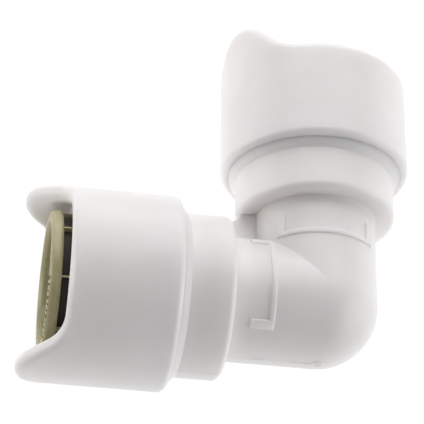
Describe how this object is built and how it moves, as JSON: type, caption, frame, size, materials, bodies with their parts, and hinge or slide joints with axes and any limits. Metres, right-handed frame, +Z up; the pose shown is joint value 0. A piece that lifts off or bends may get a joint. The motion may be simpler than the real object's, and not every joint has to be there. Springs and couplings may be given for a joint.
{
  "type": "push-fit elbow",
  "caption": "Right-angle push-fit pipe elbow with scalloped end caps over sliding release collets that let the pipe go.",
  "frame": {"origin": "centre of the left arm's pipe stop, where the end of the pipe rests; the two pipe axes cross 19 mm from it along +X", "axes": "-X out of the left port along its pipe axis, +Y out of the rear port along its pipe axis, +Z up, square to both pipe axes, on the side with the raised ribs"},
  "size_m": [0.0708, 0.0708, 0.035],
  "materials": {
    "white_plastic": "satin white moulding",
    "collet_plastic": "satin beige moulding",
    "washer_plastic": "plain moulding",
    "seal_rubber": "smooth, lightly greased",
    "tooth_steel": "stamped stainless sheet"
  },
  "bodies": {
    "fitting": {"elbow_body": "white_plastic", "left_cap": "white_plastic", "left_washer": "washer_plastic", "left_o_ring": "seal_rubber", "rear_cap": "white_plastic", "rear_washer": "washer_plastic", "rear_o_ring": "seal_rubber"},
    "left_grip": {"left_collet": "collet_plastic", "left_tooth_1": "tooth_steel", "left_tooth_2": "tooth_steel", "left_tooth_3": "tooth_steel", "left_tooth_4": "tooth_steel", "left_tooth_5": "tooth_steel", "left_tooth_6": "tooth_steel", "left_tooth_7": "tooth_steel", "left_tooth_8": "tooth_steel"},
    "rear_grip": {"rear_collet": "collet_plastic", "rear_tooth_1": "tooth_steel", "rear_tooth_2": "tooth_steel", "rear_tooth_3": "tooth_steel", "rear_tooth_4": "tooth_steel", "rear_tooth_5": "tooth_steel", "rear_tooth_6": "tooth_steel", "rear_tooth_7": "tooth_steel", "rear_tooth_8": "tooth_steel"}
  },
  "joints": [
    {"name": "left_collet_slide", "type": "slide", "parent": "fitting", "child": "left_grip", "axis": [1, 0, 0], "range_m": [0, 0.0016]},
    {"name": "rear_collet_slide", "type": "slide", "parent": "fitting", "child": "rear_grip", "axis": [0, -1, 0], "range_m": [-0.0016, 0]}
  ]
}
